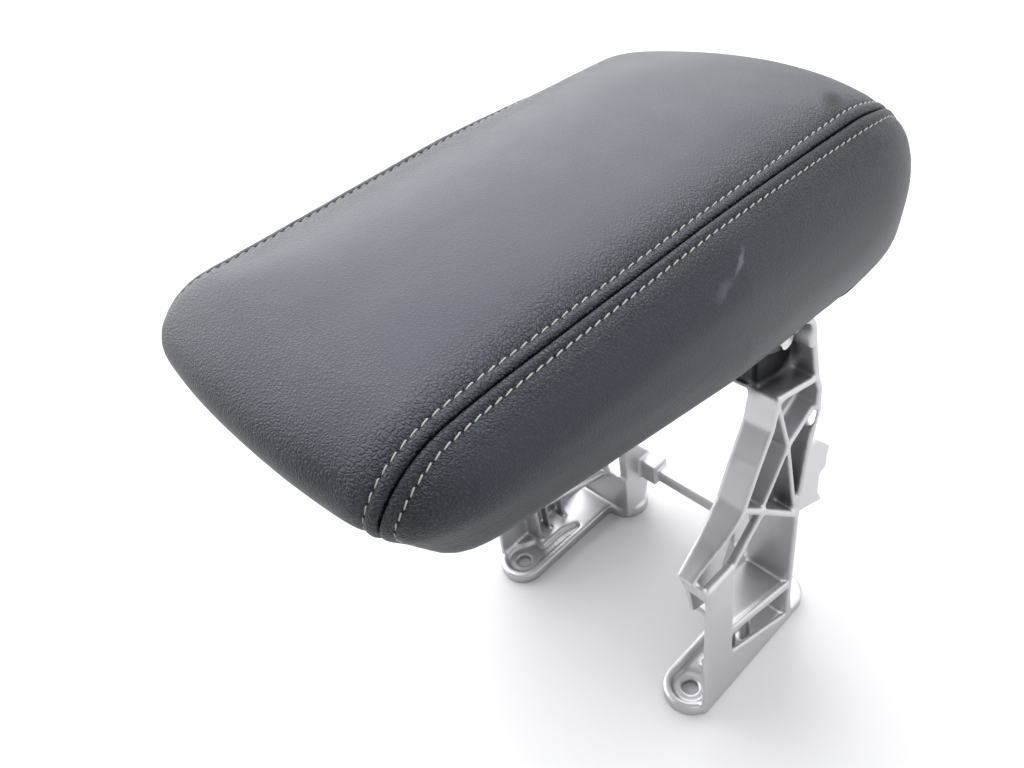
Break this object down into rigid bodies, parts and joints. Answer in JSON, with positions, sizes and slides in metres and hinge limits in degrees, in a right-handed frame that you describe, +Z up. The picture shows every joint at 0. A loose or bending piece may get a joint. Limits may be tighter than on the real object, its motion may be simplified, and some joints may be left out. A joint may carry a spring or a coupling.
{
  "type": "car armrest",
  "caption": "Car centre armrest: padded leatherette lid hinged on a ribbed die-cast two-leg bracket with bolt-down feet.",
  "frame": {"origin": "midway between the two front bolt holes, on the plane of the foot faces", "axes": "+Z up, -Y towards the front end of the lid, +X to the right leg; the hinge axis runs along X"},
  "size_m": [0.1694, 0.3108, 0.2877],
  "materials": {
    "cast_aluminium": "satin, as cast",
    "bright_steel": "ground",
    "spring_steel": "oiled black",
    "zinc_plated_steel": "zinc plated",
    "black_rubber": "matte",
    "bronze": "sintered",
    "black_plastic": "fine grain",
    "polyurethane_foam": "open cells",
    "grey_leatherette": "pebbled grain, satin"
  },
  "bodies": {
    "bracket": {"bracket_casting": "cast_aluminium", "hinge_shaft": "bright_steel", "shaft_clips": "spring_steel", "left_buffer": "black_rubber", "right_buffer": "black_rubber", "left_thrust_washer": "bright_steel", "right_thrust_washer": "bright_steel", "left_disc_springs": "spring_steel", "right_disc_springs": "spring_steel"},
    "lid": {"left_hinge_arm": "zinc_plated_steel", "right_hinge_arm": "zinc_plated_steel", "left_bush": "bronze", "right_bush": "bronze", "arm_screws": "zinc_plated_steel", "support_shell": "black_plastic", "underside_cover": "black_plastic", "cover_screws": "zinc_plated_steel", "edge_strip": "black_plastic", "foam_pad": "polyurethane_foam", "cover_centre": "grey_leatherette", "cover_left": "grey_leatherette", "cover_right": "grey_leatherette"}
  },
  "joints": [
    {"name": "lid_hinge", "type": "hinge", "parent": "bracket", "child": "lid", "pos_m": [0, 0.057, 0.21], "axis": [-1, 0, 0], "range_deg": [0, 45]}
  ]
}
